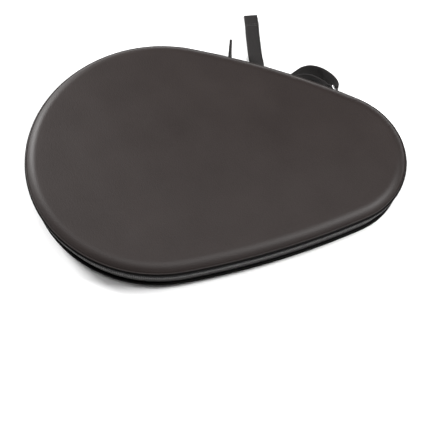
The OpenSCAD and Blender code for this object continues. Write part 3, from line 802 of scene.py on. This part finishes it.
def flat_band(x0, x1, y0, y1, z0, z1, n=60, puff=0.0):
    """A flat band with rounded edges that lies along y, pulled in a little at the middle of its length
    and puffed up by puff there."""
    y = np.linspace(y0, y1, n)
    t = (y - y0) / (y1 - y0)
    mid, half = (x0 + x1) / 2, (x1 - x0) / 2
    edge = np.linspace(0, turn, 24, endpoint=False)
    ex = np.sign(np.cos(edge)) * np.abs(np.cos(edge)) ** 0.25
    ez = np.sign(np.sin(edge)) * np.abs(np.sin(edge)) ** 0.5
    waist = 1 - 0.05 * np.sin(math.pi * t)
    points = np.stack([mid + half * waist[:, None] * ex[None], np.broadcast_to(y[:, None], (n, 24)),
                       (z0 + z1) / 2 + puff * np.sin(math.pi * t)[:, None] + (z1 - z0) / 2 * ez[None]], -1)
    return quilt(points, y, girth_of(half * ex, ez), wrap_v=True, ends=True)


band_x, band_half_w, band_half_l = 72.0, 12.5, 46.0
band_z, band_top = 4.65, 5.8
band = sewn("handle_band", [flat_band(band_x - band_half_w, band_x + band_half_w, -band_half_l, band_half_l,
                                      band_z, band_top, puff=0.3)], elastic, "base")
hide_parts("paddle_band")
k = np.arange(-9, 10)[:, None] * 1.25
along_band = np.array([1.0, 0, 0])
rows = [stitches(np.concatenate([band_x + k, 0 * k + y, 0 * k + band_top + 0.02], 1), along_band, upright,
                 1.05) for y in (-44, -42, 42, 44)]
sewn("band_stitches", rows, thread, "base")

netting = Finish("pocket_netting", Base_Color=(0.030, 0.030, 0.034, 1), Roughness=0.6)
holes = netting.node("TexVoronoi", {"voronoi_dimensions": "2D", "feature": "DISTANCE_TO_EDGE"},
                     {"Vector": netting.place(), "Scale": 420, "Randomness": 0.12}, "Distance")
solid = 1 - holes.maths("GREATER_THAN", holes, 0.22)
netting.feed("Alpha", solid)
netting.relief(1 - holes, 0.0002)
pocket_x, pocket_in, pocket_z = -38.0, 12.0, 31.25
elastic_w = 9.0
mouth_a = math.acos((pocket_x - broad_x) / (broad_r - pocket_in))
a = np.linspace(mouth_a, turn - mouth_a, 120)[:, None]
t = np.linspace(0, 1, 24)[None]
hem = np.stack([broad_x + (broad_r - pocket_in) * np.cos(a), (broad_r - pocket_in) * np.sin(a), 0 * a], -1)
mouth = np.stack([0 * a + pocket_x, (broad_r - pocket_in) * np.sin(a), 0 * a], -1)
net = hem + (mouth - hem) * t[..., None]
bulge = np.sin(math.pi * np.linspace(0, 1, 120))[:, None] * np.sin(math.pi * 0.5 * np.minimum(1, t * 1.6))
gather = 0.25 * np.sin(net[..., 1] * 0.8) * t ** 2
net[..., 2] = pocket_z - (1.4 * bulge + gather * bulge)
under = net - [0, 0, -0.25]
netting_quilt = quilt(np.concatenate([net, under[:, ::-1]], 1), np.linspace(0, 300, 120), np.arange(49.0),
                      wrap_v=True, ends=True)
pocket = sewn("net_pocket", [netting_quilt], netting, "lid")
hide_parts("mesh_pocket")
cut = hem[:, 0, :2] * 0.001
half_mouth = math.sqrt((broad_r - pocket_in) ** 2 - (pocket_x - broad_x) ** 2)
hem_z, hem_top = 30.3, 31.5
pocket_hem = sewn("pocket_hem", [flat_band(pocket_x + 0.05, pocket_x + elastic_w, -half_mouth, half_mouth,
                                           hem_z, hem_top, puff=-0.8)], elastic, "lid")
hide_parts("pocket_elastic")

# ---- Floor, light and camera -----------------------------------------------------------------------
# A plain pale floor and soft studio light: one large panel overhead, a low one behind on the left and
# one high on the right. The camera looks down from the front.
bpy.ops.mesh.primitive_plane_add(size=6)
floor = bpy.context.object
floor.name = "floor"
floor.location.z = -0.0003
floor_finish = Finish("pale_floor", Base_Color=(0.87, 0.87, 0.87, 1), Roughness=0.85)
floor.data.materials.append(floor_finish.material)
world = bpy.data.worlds.new("studio")
bpy.context.scene.world = world
world.use_nodes = True
world.node_tree.nodes["Background"].inputs["Color"].default_value = (1, 1, 1, 1)
world.node_tree.nodes["Background"].inputs["Strength"].default_value = 0.10
bpy.context.scene.view_settings.view_transform = "Standard"
for name, place, size, power in (("overhead", (-0.1, -0.30, 1.75), 1.0, 17),
                                 ("left", (-1.0, 0.72, 0.60), 0.45, 28),
                                 ("right", (0.96, -0.2, 1.2), 0.4, 26)):
    lamp = bpy.data.lights.new(name, "AREA")
    lamp.size, lamp.energy = size, power
    held = bpy.data.objects.new(name, lamp)
    bpy.context.scene.collection.objects.link(held)
    held.location = place
    held.rotation_euler = (-held.location).to_track_quat("-Z", "Y").to_euler()

azimuth, elevation, roll, distance = np.radians(-1.0), np.radians(58.3), np.radians(1.8), 0.864
backwards = np.array([math.sin(azimuth) * math.cos(elevation), -math.cos(azimuth) * math.cos(elevation),
                      math.sin(elevation)])
right = np.array([math.cos(azimuth), math.sin(azimuth), 0])
up = np.cross(backwards, right)
right, up = (math.cos(roll) * right + math.sin(roll) * up, -math.sin(roll) * right + math.cos(roll) * up)
camera = bpy.data.objects.new("camera", bpy.data.cameras.new("camera"))
bpy.context.scene.collection.objects.link(camera)
aimed_at = np.array([0, 0, 0.0317])
camera.location = aimed_at + backwards * distance
camera.rotation_euler = Matrix(np.stack([right, up, backwards], 1).tolist()).to_euler()
camera.data.sensor_width = 36
camera.data.lens = 92.1
camera.data.shift_x, camera.data.shift_y = -0.00279, -0.1414
bpy.context.scene.camera = camera
